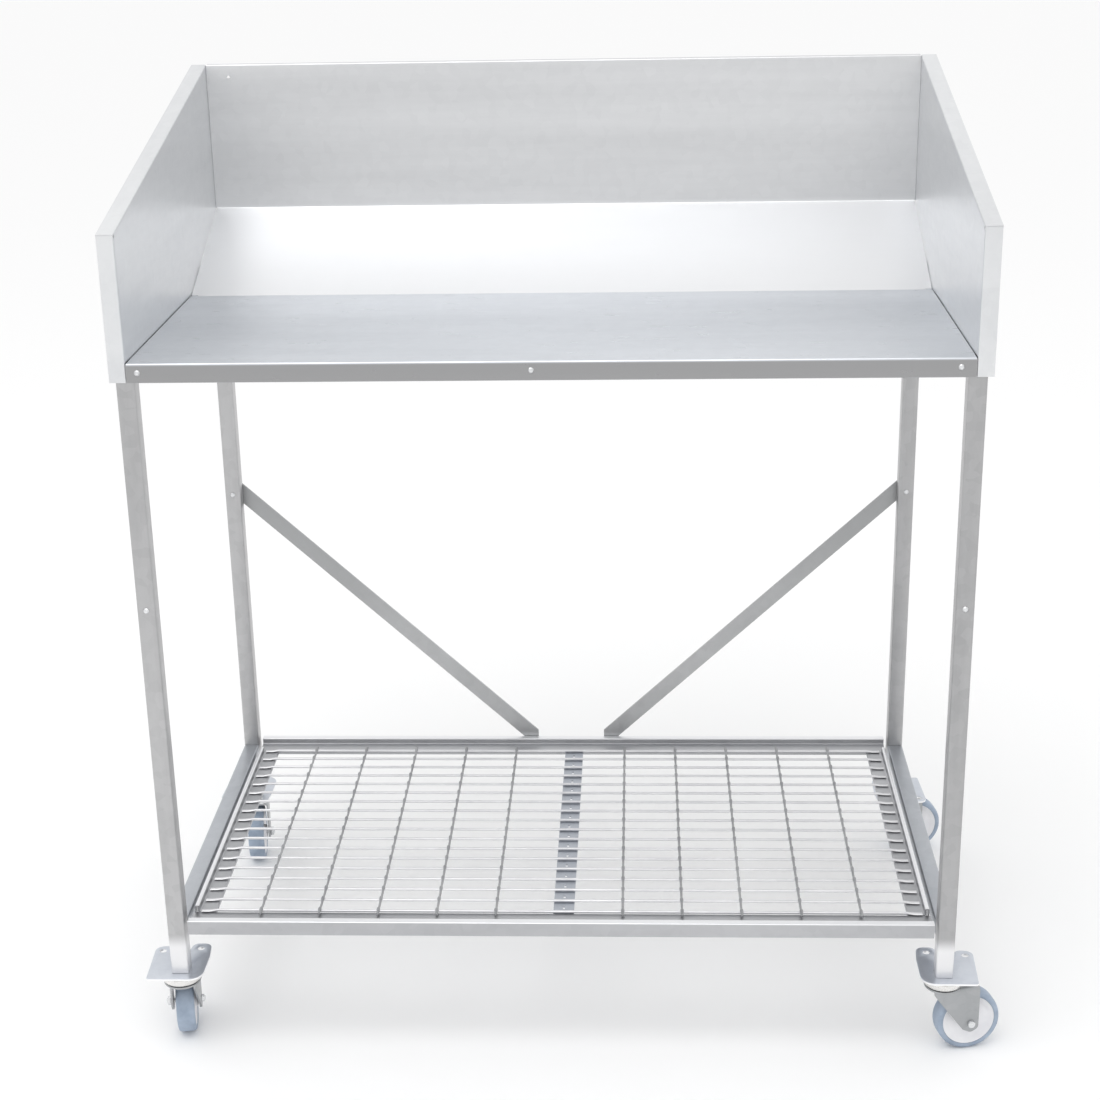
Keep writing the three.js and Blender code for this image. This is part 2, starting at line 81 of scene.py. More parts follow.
scene = bpy.context.scene
scene.view_settings.view_transform = "Standard"
sky = bpy.data.worlds.new("studio sky")
scene.world = sky
sky.use_nodes = True
sky_nodes, sky_links = sky.node_tree.nodes, sky.node_tree.links
sky_direction = sky_nodes.new("ShaderNodeTexCoord")
sky_split = sky_nodes.new("ShaderNodeSeparateXYZ")
sky_ramp = sky_nodes.new("ShaderNodeValToRGB")
sky_ramp.color_ramp.elements[0].position = 0.0
sky_ramp.color_ramp.elements[0].color = (0.96, 0.965, 0.97, 1)
sky_ramp.color_ramp.elements[1].position = 0.55
sky_ramp.color_ramp.elements[1].color = (1.0, 1.0, 1.0, 1)
sky_links.new(sky_direction.outputs["Generated"], sky_split.inputs[0])
sky_links.new(sky_split.outputs["Z"], sky_ramp.inputs[0])
sky_links.new(sky_ramp.outputs["Color"], sky_nodes["Background"].inputs["Color"])
sky_nodes["Background"].inputs["Strength"].default_value = 1.0

lamp_data = bpy.data.lights.new("overhead lamp", "AREA")
lamp_data.shape = "RECTANGLE"
lamp_data.size = 2.4
lamp_data.size_y = 1.8
lamp_data.energy = 22
lamp = bpy.data.objects.new("overhead lamp", lamp_data)
lamp.location = at(-500, -900, 2900)
lamp.rotation_euler = (Vector(at(0, 0, 700)) - lamp.location).to_track_quat("-Z", "Y").to_euler()
bpy.context.collection.objects.link(lamp)

floor_mesh = bpy.data.meshes.new("studio_floor")
floor_mesh.from_pydata([(-30, -30, 0), (30, -30, 0), (30, 30, 0), (-30, 30, 0)], [], [(0, 1, 2, 3)])
studio_floor = bpy.data.objects.new("studio_floor", floor_mesh)
bpy.context.collection.objects.link(studio_floor)
floor_paint = bpy.data.materials.new("white floor")
floor_paint.use_nodes = True
floor_paint.node_tree.nodes["Principled BSDF"].inputs["Base Color"].default_value = (0.96, 0.96, 0.96, 1)
floor_paint.node_tree.nodes["Principled BSDF"].inputs["Roughness"].default_value = 0.9
floor_mesh.materials.append(floor_paint)

# ---- Legs: four lengths of 20 mm square steel tube, welded and then hot-dip galvanised, so their
# corners are slightly rounded and the zinc has soft streaks along the tube and a faint spangle.

GAP = 0.3  # left between parts that meet
TUBE, TUBE_WALL, CORNER = 20, 1.5, 2.2
LEG_X, LEG_Y = 441, 241


def galvanised(name, light, dark, rough, along=(1, 1, 1), metal=0.88):
    """Zinc-coated steel: `light` and `dark` are its two tones and `along` stretches the streaks."""
    made = bpy.data.materials.new(name)
    made.use_nodes = True
    nodes, links = made.node_tree.nodes, made.node_tree.links
    steel = nodes["Principled BSDF"]
    steel.inputs["Metallic"].default_value = metal
    place = nodes.new("ShaderNodeTexCoord")
    stretch = nodes.new("ShaderNodeMapping")
    stretch.inputs["Scale"].default_value = along
    streaks = nodes.new("ShaderNodeTexNoise")
    streaks.inputs["Scale"].default_value = 9
    streaks.inputs["Detail"].default_value = 6
    streaks.inputs["Roughness"].default_value = 0.62
    spangle = nodes.new("ShaderNodeTexVoronoi")
    spangle.inputs["Scale"].default_value = 95
    spangle.inputs["Randomness"].default_value = 1
    blend = nodes.new("ShaderNodeMix")
    blend.data_type = "RGBA"
    blend.inputs["Factor"].default_value = 0.1
    tones = nodes.new("ShaderNodeValToRGB")
    tones.color_ramp.elements[0].position = 0.36
    tones.color_ramp.elements[0].color = (*dark, 1)
    tones.color_ramp.elements[1].position = 0.64
    tones.color_ramp.elements[1].color = (*light, 1)
    links.new(place.outputs["Object"], stretch.inputs["Vector"])
    links.new(stretch.outputs["Vector"], streaks.inputs["Vector"])
    links.new(place.outputs["Object"], spangle.inputs["Vector"])
    links.new(streaks.outputs["Fac"], blend.inputs["A"])
    links.new(spangle.outputs["Color"], blend.inputs["B"])
    links.new(blend.outputs["Result"], tones.inputs["Fac"])
    links.new(tones.outputs["Color"], steel.inputs["Base Color"])
    grain = nodes.new("ShaderNodeTexNoise")
    grain.inputs["Scale"].default_value = 160
    grain.inputs["Detail"].default_value = 4
    links.new(stretch.outputs["Vector"], grain.inputs["Vector"])
    polish = nodes.new("ShaderNodeMapRange")
    polish.inputs["To Min"].default_value = rough - 0.07
    polish.inputs["To Max"].default_value = rough + 0.07
    links.new(grain.outputs["Fac"], polish.inputs["Value"])
    links.new(polish.outputs["Result"], steel.inputs["Roughness"])
    ripple = nodes.new("ShaderNodeBump")
    ripple.inputs["Strength"].default_value = 0.06
    ripple.inputs["Distance"].default_value = 0.0004
    links.new(grain.outputs["Fac"], ripple.inputs["Height"])
    links.new(ripple.outputs["Normal"], steel.inputs["Normal"])
    return made


def painted_light_ramp(made, axis, start, end, tone):
    """Paints light into a finish: its colour changes toward `tone` between two places, in metres along one
    axis, a painted highlight where `tone` is lighter and painted shade where it is darker.
    """
    nodes, links = made.node_tree.nodes, made.node_tree.links
    colour = nodes["Principled BSDF"].inputs["Base Color"]
    place = nodes.new("ShaderNodeTexCoord")
    split = nodes.new("ShaderNodeSeparateXYZ")
    change = nodes.new("ShaderNodeMapRange")
    change.interpolation_type = "SMOOTHSTEP"
    change.inputs["From Min"].default_value = start
    change.inputs["From Max"].default_value = end
    blend = nodes.new("ShaderNodeMix")
    blend.data_type = "RGBA"
    blend.inputs["B"].default_value = (*tone, 1)
    links.new(place.outputs["Object"], split.inputs[0])
    links.new(split.outputs[axis], change.inputs["Value"])
    links.new(change.outputs["Result"], blend.inputs["Factor"])
    links.new(colour.links[0].from_socket, blend.inputs["A"])
    links.new(blend.outputs["Result"], colour)


def prism(bm, outline, place, start, end):
    """A closed outline of (a, b) points pushed from `start` to `end`; place(a, b, t) says where."""
    rings = [[bm.verts.new(place(a, b, t)) for a, b in outline] for t in (start, end)]
    count = len(outline)
    for i in range(count):
        j = (i + 1) % count
        bm.faces.new((rings[0][i], rings[0][j], rings[1][j], rings[1][i]))
    for ring in rings:
        bm.faces.new(ring)


def piece(name, bm, material, body, slot, *nodes, crease=35):
    """Turns a bmesh into a finished piece: smooth bends, sharp edges, its finish and its body."""
    bmesh.ops.recalc_face_normals(bm, faces=bm.faces)
    mesh = bpy.data.meshes.new(name)
    bm.to_mesh(mesh)
    bm.free()
    mesh.polygons.foreach_set("use_smooth", [True] * len(mesh.polygons))
    mesh.set_sharp_from_angle(angle=math.radians(crease))
    made = bpy.data.objects.new(name, mesh)
    bpy.context.collection.objects.link(made)
    mesh.materials.append(material)
    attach(made, body)
    if nodes:
        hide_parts(*nodes)
    return made


def rounded_square(half, radius, steps=4):
    """Corners of a square tube's section, each turned through a quarter circle."""
    points = []
    for quarter in range(4):
        for step in range(steps + 1):
            angle = math.radians(90 * (quarter + step / steps))
            corner = [(1, 1), (-1, 1), (-1, -1), (1, -1)][quarter]
            points.append((corner[0] * (half - radius) + radius * math.cos(angle),
                           corner[1] * (half - radius) + radius * math.sin(angle)))
    return points


def square_tube(bm, place, start, end):
    """A hollow square tube between two distances along its own line."""
    outer = rounded_square(TUBE / 2, CORNER)
    inner = rounded_square(TUBE / 2 - TUBE_WALL, CORNER - TUBE_WALL)
    loops = []
    for outline in (outer, inner):
        loops.append([[bm.verts.new(place(a, b, t)) for a, b in outline] for t in (start, end)])
    count = len(outer)
    for i in range(count):
        j = (i + 1) % count
        for rings in loops:
            bm.faces.new((rings[0][i], rings[0][j], rings[1][j], rings[1][i]))
        for end_index in (0, 1):
            a, b = loops[0][end_index], loops[1][end_index]
            bm.faces.new((a[i], a[j], b[j], b[i]))


leg_zinc = galvanised("leg galvanising", (0.50, 0.50, 0.505), (0.37, 0.37, 0.375), 0.36, (1, 1, 0.12))
# Painted highlight: the legs' lower ends, below 130 mm, are painted near-white.
painted_light_ramp(leg_zinc, "Z", 0.15, 0.13, (0.82, 0.82, 0.83))
LEG_BOTTOM, LEG_TOP = 97 + GAP, 824.5
for side, sx in (("left", -1), ("right", 1)):
    for end, sy in (("front", -1), ("rear", 1)):
        bm = bmesh.new()
        square_tube(bm, lambda a, b, t: at(sx * LEG_X + a, sy * LEG_Y + b, t), LEG_BOTTOM, LEG_TOP)
        piece(f"{end}_{side}_leg_tube", bm, leg_zinc, "bench", "galvanised_tube", f"{end}_{side}_leg")

# ---- Frame tubes: the same square tube, butted between the legs, four close under the tray and
# two low down that tie each front leg to the leg behind it.

rail_zinc = galvanised("rail galvanising", (0.52, 0.54, 0.57), (0.42, 0.44, 0.47), 0.4, (0.2, 0.2, 1))
TRAY_TUBE_Z, LOW_TUBE_Z = LEG_TOP - TUBE / 2, 151
BETWEEN_X, BETWEEN_Y = LEG_X - TUBE / 2 - GAP, LEG_Y - TUBE / 2 - GAP
for end, sy in (("front", -1), ("rear", 1)):
    bm = bmesh.new()
    square_tube(bm, lambda a, b, t: at(t, sy * LEG_Y + a, TRAY_TUBE_Z + b), -BETWEEN_X, BETWEEN_X)
    piece(f"tray_{end}_tube", bm, rail_zinc, "bench", "galvanised_tube", f"tray_frame_{end}_rail")
for side, sx in (("left", -1), ("right", 1)):
    for where, height, node in (("tray", TRAY_TUBE_Z, f"tray_frame_{side}_rail"),
                                ("low", LOW_TUBE_Z, f"lower_{side}_rail")):
        bm = bmesh.new()
        square_tube(bm, lambda a, b, t: at(sx * LEG_X + a, t, height + b), -BETWEEN_Y, BETWEEN_Y)
        piece(f"{where}_{side}_tube", bm, rail_zinc, "bench", "galvanised_tube", node)

# ---- Tray floor: one sheet of galvanised steel about 1.2 mm thick, folded down along the front
# into a lip that hides the tube behind it, and ending at the crease where the back begins.

SHEET, BEND = 1.2, 2.0
TRAY_TOP, LIP = 826, 20.4
TRAY_FRONT = -252.5
WALL_IN = 439


def bent(path, radius, steps=5):
    """The same path of (a, b) points with every corner between its ends turned into an arc."""
    points = [Vector(path[0])]
    for before, corner, after in zip(path, path[1:], path[2:]):
        here = Vector(corner)
        back, on = (Vector(before) - here).normalized(), (Vector(after) - here).normalized()
        half = back.angle(on) / 2
        reach = min(radius / math.tan(half), 0.45 * min((Vector(before) - here).length,
                                                        (Vector(after) - here).length))
        real = reach * math.tan(half)
        centre = here + (back + on).normalized() * real / math.sin(half)
        first, last = here + back * reach - centre, here + on * reach - centre
        for step in range(steps + 1):
            points.append(centre + first.slerp(last, step / steps).normalized() * real)
    points.append(Vector(path[-1]))
    return points


def sheet_section(path, thickness, radius):
    """The closed section of a bent sheet that lies to the left of its path."""
    line = bent(path, radius)
    left = []
    for i, here in enumerate(line):
        arriving = (here - line[i - 1]).normalized() if i else (line[1] - here).normalized()
        leaving = (line[i + 1] - here).normalized() if i < len(line) - 1 else arriving
        normals = [Vector((-way.y, way.x)) for way in (arriving, leaving)]
        left.append(here + (normals[0] + normals[1]) * thickness / (1 + normals[0].dot(normals[1])))
    return [tuple(p) for p in line] + [tuple(p) for p in reversed(left)]


tray_zinc = galvanised("tray floor galvanising", (0.71, 0.735, 0.77), (0.64, 0.665, 0.70), 0.3, (0.15, 1, 1))
# Painted shade: the front lip, below 823 mm, is painted dark.
painted_light_ramp(tray_zinc, "Z", 0.825, 0.823, (0.35, 0.35, 0.355))
FLOOR_REAR, SEAM = 70.6, 1.0
lip_path = [(TRAY_FRONT, TRAY_TOP - LIP), (TRAY_FRONT, TRAY_TOP), (FLOOR_REAR, TRAY_TOP)]
bm = bmesh.new()
lip_section = sheet_section(lip_path[::-1], SHEET, BEND)
prism(bm, lip_section, lambda a, b, t: at(t, a, b), SEAM - WALL_IN, WALL_IN - SEAM)
piece("tray_floor_sheet", bm, tray_zinc, "bench", "galvanised_sheet", "tray_floor")

# ---- Side walls: one sheet each, folded outward all round: a narrow flange down the front edge and
# along the sloping top, a flange with a turned-down lip that sits over the tube below, and a narrow
# turn inward behind the back that closes the seam.

FLANGE, FOLD_LEG, REAR_TURN, FOOT_BEND = 18, 4.6, 8, 1.2
SLOPE_TOP = TRAY_TOP + 73
WALL_REAR, WALL_FRONT_TOP, WALL_BACK_TOP = 254.7, TRAY_TOP + 135, TRAY_TOP + 250
wall_zinc = galvanised("wall galvanising", (0.77, 0.78, 0.79), (0.69, 0.70, 0.715), 0.33, (1, 0.15, 1))
run, rise = WALL_REAR - TRAY_FRONT, WALL_BACK_TOP - WALL_FRONT_TOP
slope = Vector((run, rise)).normalized()
for side, sx in (("left", -1), ("right", 1)):
    bm = bmesh.new()
    inner = [
        (TRAY_FRONT + FOLD_LEG, TRAY_TOP + FOLD_LEG), (WALL_REAR, TRAY_TOP + FOLD_LEG),
        (WALL_REAR, WALL_BACK_TOP - FOLD_LEG),
        (TRAY_FRONT + FOLD_LEG, WALL_FRONT_TOP - FOLD_LEG * (1 - rise / run)),
    ]
    prism(bm, inner, lambda a, b, t: at(sx * t, a, b), WALL_IN, WALL_IN + SHEET)
    front_fold = sheet_section([(WALL_IN, FOLD_LEG), (WALL_IN, 0), (WALL_IN + FLANGE, 0)], SHEET, BEND)
    prism(bm, front_fold, lambda a, b, t: at(sx * a, TRAY_FRONT + b, t), TRAY_TOP - LIP, WALL_FRONT_TOP - 1.0)
    top_fold = sheet_section([(WALL_IN + FLANGE, 0), (WALL_IN, 0), (WALL_IN, -FOLD_LEG)], SHEET, BEND)
    prism(bm, top_fold, lambda a, b, t: at(
        sx * a, TRAY_FRONT + slope.x * t, WALL_FRONT_TOP + slope.y * t + b), 0, run / slope.x)
    lip_in = WALL_IN + FLANGE - SHEET
    foot_fold = sheet_section([
        (WALL_IN, TRAY_TOP + FOLD_LEG), (WALL_IN, TRAY_TOP - SHEET), (lip_in, TRAY_TOP - SHEET),
        (lip_in, TRAY_TOP - LIP),
    ], SHEET, FOOT_BEND)
    prism(bm, foot_fold, lambda a, b, t: at(sx * a, t, b), TRAY_FRONT + FOLD_LEG, WALL_REAR)
    turn_end = WALL_IN - REAR_TURN
    rear_turn = [(WALL_IN, WALL_REAR - SHEET), (WALL_IN, WALL_REAR), (turn_end, WALL_REAR),
                 (turn_end, WALL_REAR - SHEET)]
    prism(bm, rear_turn, lambda a, b, t: at(sx * a, b, t), SLOPE_TOP, WALL_BACK_TOP - SHEET - GAP)
    piece(f"{side}_wall_sheet", bm, wall_zinc, "bench", "galvanised_sheet", f"side_wall_{side}")

# ---- Back: one sheet that climbs from the tray floor at a slant, then turns upright and ends in a
# narrow hem folded to the rear. A small pilot hole is left near its top left corner.

SLOPE_FOOT, BACK_Y, HEM = 75, 252, 10
PILOT_X, PILOT_Z = -411.5, WALL_BACK_TOP - 15
FOOT_Y, FOOT_Z, FOOT_FOLD, BESIDE_TUBE = 71.4, TRAY_TOP - SHEET - GAP, 14, LEG_X - TUBE / 2 - GAP
back_zinc = galvanised("back galvanising", (0.70, 0.705, 0.715), (0.62, 0.625, 0.635), 0.34, (0.08, 1, 1.6))
# Painted highlight: the slant, below 897 mm, is painted lighter than the upright part.
painted_light_ramp(back_zinc, "Z", 0.905, 0.897, (0.78, 0.785, 0.795))


def carved(solid, cutter, operation):
    """The bmesh left when `cutter` is taken from `solid`, or the part that both share."""
    helpers = []
    for shape in (solid, cutter):
        bmesh.ops.recalc_face_normals(shape, faces=shape.faces)
        mesh = bpy.data.meshes.new("blank")
        shape.to_mesh(mesh)
        shape.free()
        helpers.append(bpy.data.objects.new("blank", mesh))
        bpy.context.collection.objects.link(helpers[-1])
    shaping = helpers[0].modifiers.new("shaping", "BOOLEAN")
    shaping.operation = operation
    shaping.object = helpers[1]
    bpy.context.view_layer.update()
    shaped = helpers[0].evaluated_get(bpy.context.evaluated_depsgraph_get())
    result = bmesh.new()
    result.from_mesh(bpy.data.meshes.new_from_object(shaped))
    for helper in helpers:
        bpy.data.objects.remove(helper)
    return result


def circle(a, b, radius, sides=20):
    return [(a + radius * math.cos(2 * math.pi * k / sides), b + radius * math.sin(2 * math.pi * k / sides))
            for k in range(sides)]


back_path = [(BACK_Y + HEM, WALL_BACK_TOP), (BACK_Y, WALL_BACK_TOP), (BACK_Y, SLOPE_TOP),
             (SLOPE_FOOT, TRAY_TOP)]
back_section = sheet_section(back_path, SHEET, BEND)
sheet = bmesh.new()
prism(sheet, back_section, lambda a, b, t: at(t, a, b), SEAM - WALL_IN, WALL_IN - SEAM)
hole = bmesh.new()
prism(hole, circle(PILOT_X, PILOT_Z, 1.6, 16), lambda a, b, t: at(a, t, b), BACK_Y - 5, BACK_Y + 5)
bm = carved(sheet, hole, "DIFFERENCE")
foot_path = [(SLOPE_FOOT, TRAY_TOP), (FOOT_Y, FOOT_Z), (FOOT_Y - FOOT_FOLD, FOOT_Z)]
prism(bm, sheet_section(foot_path, SHEET, 0.8), lambda a, b, t: at(t, a, b), -BESIDE_TUBE, BESIDE_TUBE)
piece("back_sheet", bm, back_zinc, "bench", "galvanised_sheet", "back_panel")

# ---- Shelf frame: four lengths of folded steel with a raised edge and a sunken ledge that the wires
# rest on. The front and rear ones stand flush with the legs, the side ones are narrower.

SHELF_TOP, SHELF_STEP, SHELF_FACE, RAIL_SHEET, LEDGE_LIP = 166, 8, 17.2, 1.5, 3.5
LEDGE_Z = SHELF_TOP - SHELF_STEP
shelf_zinc = galvanised("shelf frame galvanising", (0.50, 0.505, 0.52), (0.42, 0.425, 0.44), 0.36,
                        (0.2, 1, 1))
# Painted highlight: the top of each raised edge, above 165.7 mm, is painted near-white.
painted_light_ramp(shelf_zinc, "Z", 0.1645, 0.1657, (0.85, 0.855, 0.87))


def shelf_section(edge, ledge):
    """Section of a shelf rail, as distance inward from its outer face and height."""
    far = edge + ledge
    path = [(0, SHELF_TOP - SHELF_FACE), (0, SHELF_TOP), (edge, SHELF_TOP), (edge, LEDGE_Z), (far, LEDGE_Z),
            (far, LEDGE_Z - LEDGE_LIP)]
    return sheet_section(path[::-1], RAIL_SHEET, 1.6)


for end, sy in (("front", -1), ("rear", 1)):
    bm = bmesh.new()
    prism(bm, shelf_section(10, 26), lambda a, b, t: at(t, sy * (251 - a), b), -427, 427)
    piece(f"shelf_{end}_section", bm, shelf_zinc, "bench", "galvanised_tube", f"shelf_{end}_rail")
for side, sx in (("left", -1), ("right", 1)):
    bm = bmesh.new()
    prism(bm, shelf_section(5, 20), lambda a, b, t: at(sx * (426 - a), t, b), -214.7, 214.7)
    piece(f"shelf_{side}_section", bm, shelf_zinc, "bench", "galvanised_tube", f"shelf_{side}_rail")

# ---- Shelf wires: long wires side to side and crimped wires front to back, welded where they cross,
# with the long wires' ends pressed flat on the side ledges. A slotted flat bar holds up the middle.

LONG_WIRES, LONG_PITCH, WIRE = 18, 25.25, 3.6
WIRE_END, PRESSED, CROSS_WIRE = 418, 9, 2.8
CROSS_AT = [sx * (73.5 + 68.6 * i) for sx in (-1, 1) for i in range(5)]
wire_zinc = galvanised("wire galvanising", (0.80, 0.80, 0.81), (0.70, 0.70, 0.715), 0.35)
cross_zinc = galvanised("cross wire galvanising", (0.42, 0.425, 0.435), (0.31, 0.315, 0.325), 0.4)


def wire_run(bm, points, radii, sides=8):
    """A wire along a line of points, closed at both ends; radii gives its half width and height."""
    rings = []
    for i, (here, (wide, tall)) in enumerate(zip(points, radii)):
        way = (points[min(i + 1, len(points) - 1)] - points[max(i - 1, 0)]).normalized()
        across = way.cross(Vector((0, 0, 1))).normalized() * wide * MM
        up = across.cross(way).normalized() * tall * MM
        rings.append([bm.verts.new(here + across * math.cos(turn) + up * math.sin(turn))
                      for turn in (2 * math.pi * k / sides for k in range(sides))])
    for first, second in zip(rings, rings[1:]):
        for k in range(sides):
            m = (k + 1) % sides
            bm.faces.new((first[k], first[m], second[m], second[k]))
    bm.faces.new(rings[0])
    bm.faces.new(rings[-1])


wire_ys = [(i - (LONG_WIRES - 1) / 2) * LONG_PITCH for i in range(LONG_WIRES)]
wire_z = LEDGE_Z + GAP + WIRE / 2
full, pressed = (WIRE / 2, WIRE / 2), (2.9, 1.1)
bm = bmesh.new()
for y in wire_ys:
    stops = [-WIRE_END, PRESSED - WIRE_END, 2 * PRESSED - WIRE_END]
    stops += [-x for x in reversed(stops)]
    line = [at(x, y, wire_z - (0.7 if abs(x) >= WIRE_END - PRESSED else 0)) for x in stops]
    wire_run(bm, line, [pressed, pressed, full, full, pressed, pressed])
piece("shelf_long_wires", bm, wire_zinc, "bench", "galvanised_wire", "shelf_wire_mesh", crease=60)
bm = bmesh.new()
# One crossing: how far along the wire, how far up it is crimped, and half its width there.
crimp = ((-9, 0.3, CROSS_WIRE / 2), (-4, 1.4, 1.5), (-2, 2.4, 1.9), (0, 2.7, 2.0), (2, 2.4, 1.9),
         (4, 1.4, 1.5), (9, 0.3, CROSS_WIRE / 2))
for x in CROSS_AT:
    line = [at(x, y + along, wire_z + lift) for y in wire_ys for along, lift, _ in crimp]
    wire_run(bm, line, [(half, CROSS_WIRE / 2) for _ in wire_ys for _, _, half in crimp])
piece("shelf_cross_wires", bm, cross_zinc, "bench", "galvanised_wire", crease=60)

bar_zinc = galvanised("bar galvanising", (0.52, 0.545, 0.59), (0.44, 0.465, 0.51), 0.38, (1, 0.2, 1))
frame["nodes"]["shelf_middle_bar"].data.materials.clear()
frame["nodes"]["shelf_middle_bar"].data.materials.append(bar_zinc)

# ---- Braces: two flat bars behind the rear legs, riveted at each end, with their feet cranked
# upright against the back of the rear shelf section.

brace_zinc = galvanised("brace galvanising", (0.56, 0.565, 0.57), (0.46, 0.465, 0.47), 0.35, (0.4, 1, 0.4))
# Painted shade: the braces are painted darker toward their upper ends, from 250 mm to 540 mm.
painted_light_ramp(brace_zinc, "Z", 0.25, 0.54, (0.36, 0.365, 0.37))
for side in ("left", "right"):
    brace = frame["nodes"][f"rear_{side}_brace"]
    brace.data.materials.clear()
    brace.data.materials.append(brace_zinc)

# ---- Rivets: blind steel rivets with low domed heads.

rivet_zinc = galvanised("rivet zinc", (0.80, 0.81, 0.82), (0.70, 0.71, 0.72), 0.3)
for name, node in frame["nodes"].items():
    if "rivet" in name:
        node.data.materials.clear()
        node.data.materials.append(rivet_zinc)

# ---- Castor plates: pressed steel plates welded under the legs, each with two eared bolt holes that
# were left open and, below it, the pressed dish that holds the upper row of balls.

plate_zinc = galvanised("castor plate zinc", (0.66, 0.69, 0.74), (0.55, 0.58, 0.64), 0.34)
# Painted highlight: the plates' edges, below 96.2 mm, are painted near-white.
painted_light_ramp(plate_zinc, "Z", 0.0968, 0.0962, (0.95, 0.955, 0.96))
dish_zinc = galvanised("ball race zinc", (0.84, 0.83, 0.81), (0.74, 0.73, 0.71), 0.28)
PLATE_THICK, PLATE_LOW = 3, 94
# Corners of the plate seen from above: outward of the leg, inward along the bench, and rounding.
PLATE_CORNERS = [(-27, -22, 17), (37.5, -22, 3), (41, 49, 10), (21, 51, 8), (15, 33, 8), (1, 33, 8),
                 (-3, 57, 8), (-24, 57, 9), (-27, 30, 14)]
EAR_HOLES = [(-13, 46), (31, 40)]
joints = {joint["name"]: joint for joint in frame["record"]["behaviour"]["joints"]}


def rounded_outline(corners, steps=6):
    """A closed outline whose corners are turned through arcs, from (a, b, radius) corners."""
    points = []
    count = len(corners)
    for i, (a, b, radius) in enumerate(corners):
        before, after = corners[i - 1], corners[(i + 1) % count]
        points += bent([before[:2], (a, b), after[:2]], radius, steps)[1:-1]
    return points


def flat_plate(bm, outlines, thickness, place):
    """A flat plate with holes and softened edges, from closed outlines; place(a, b, h) puts it."""
    flat = bmesh.new()
    rings = [[flat.verts.new((a, b, 0)) for a, b in outline] for outline in outlines]
    rim = [flat.edges.new((ring[i - 1], ring[i])) for ring in rings for i in range(len(ring))]
    flat.verts.index_update()
    bmesh.ops.triangle_fill(flat, use_beauty=True, use_dissolve=False, edges=rim)
    low, high = ([bm.verts.new(place(*vert.co.xy, h)) for vert in flat.verts] for h in (0, thickness))
    for face in flat.faces:
        for level in (low, high):
            bm.faces.new([level[vert.index] for vert in face.verts])
    for ring in rings:
        for i, vert in enumerate(ring):
            first, second = ring[i - 1].index, vert.index
            bm.faces.new((low[first], low[second], high[second], high[first]))
    flat.free()
    bmesh.ops.recalc_face_normals(bm, faces=bm.faces)
    edges = [edge for edge in bm.edges if edge.calc_face_angle(0) > 1.2]
    bmesh.ops.bevel(bm, geom=edges, offset=0.5 * MM, segments=2, profile=0.5, affect="EDGES")


def turned(bm, profile, place, steps=48):
    """A turned solid from (radius, height) points; a radius of nought closes it on its axis."""
    rings = []
    for radius, height in profile:
        if radius == 0:
            rings.append([bm.verts.new(place(0, 0, height))])
        else:
            rings.append([bm.verts.new(place(a, b, height)) for a, b in circle(0, 0, radius, steps)])
    pairs = list(zip(rings, rings[1:]))
    if profile[0][0] and profile[-1][0]:
        pairs.append((rings[-1], rings[0]))
    for low_ring, high_ring in pairs:
        for k in range(steps):
            m = (k + 1) % steps
            corners = [low_ring[k % len(low_ring)], low_ring[m % len(low_ring)],
                       high_ring[m % len(high_ring)], high_ring[k % len(high_ring)]]
            bm.faces.new(list(dict.fromkeys(corners)))


for corner, sx, sy in (("front_left", -1, -1), ("front_right", 1, -1), ("rear_left", -1, 1),
                       ("rear_right", 1, 1)):
    bm = bmesh.new()
    ear_holes = [circle(a, b, 4) for a, b in EAR_HOLES]
    outlines = [rounded_outline(PLATE_CORNERS), *ear_holes, circle(0, 0, 4.3)]
    flat_plate(bm, outlines, PLATE_THICK, lambda a, b, h: at(
        sx * (LEG_X + a), sy * (LEG_Y - b), PLATE_LOW + h))
    piece(f"{corner}_castor_top_plate", bm, plate_zinc, "bench", "bright_zinc", f"{corner}_castor_plate")
    bm = bmesh.new()
    dish = [(4.4, 94), (4.4, 86.6), (17, 86.2), (18.4, 85.2), (19.8, 85.2), (21.6, 86.2), (22.8, 88.2),
            (23.2, 91), (23.2, 93.2), (22.6, 94)]
    turned(bm, dish, lambda a, b, h: at(sx * LEG_X + a, sy * LEG_Y + b, h), 56)
    piece(f"{corner}_castor_race", bm, dish_zinc, "bench", "bright_zinc")

# ---- Castor forks: each pressed from one plate into a narrow U under a round crown, with cheeks
# that slant back to the axle. A king pin riveted through crown and plate lets it swivel.

fork_zinc = galvanised("castor fork zinc", (0.46, 0.47, 0.48), (0.37, 0.38, 0.39), 0.36)
CROWN_TOP, CHEEK_OUT, CHEEK_THICK = 84.5, 17.5, 2.5
CHEEK_CORNERS = [(-15.5, 90, 0.5), (-14, 77, 7), (20.5, 30.5, 7), (30, 26, 6), (39, 31, 6), (39, 90, 0.5)]

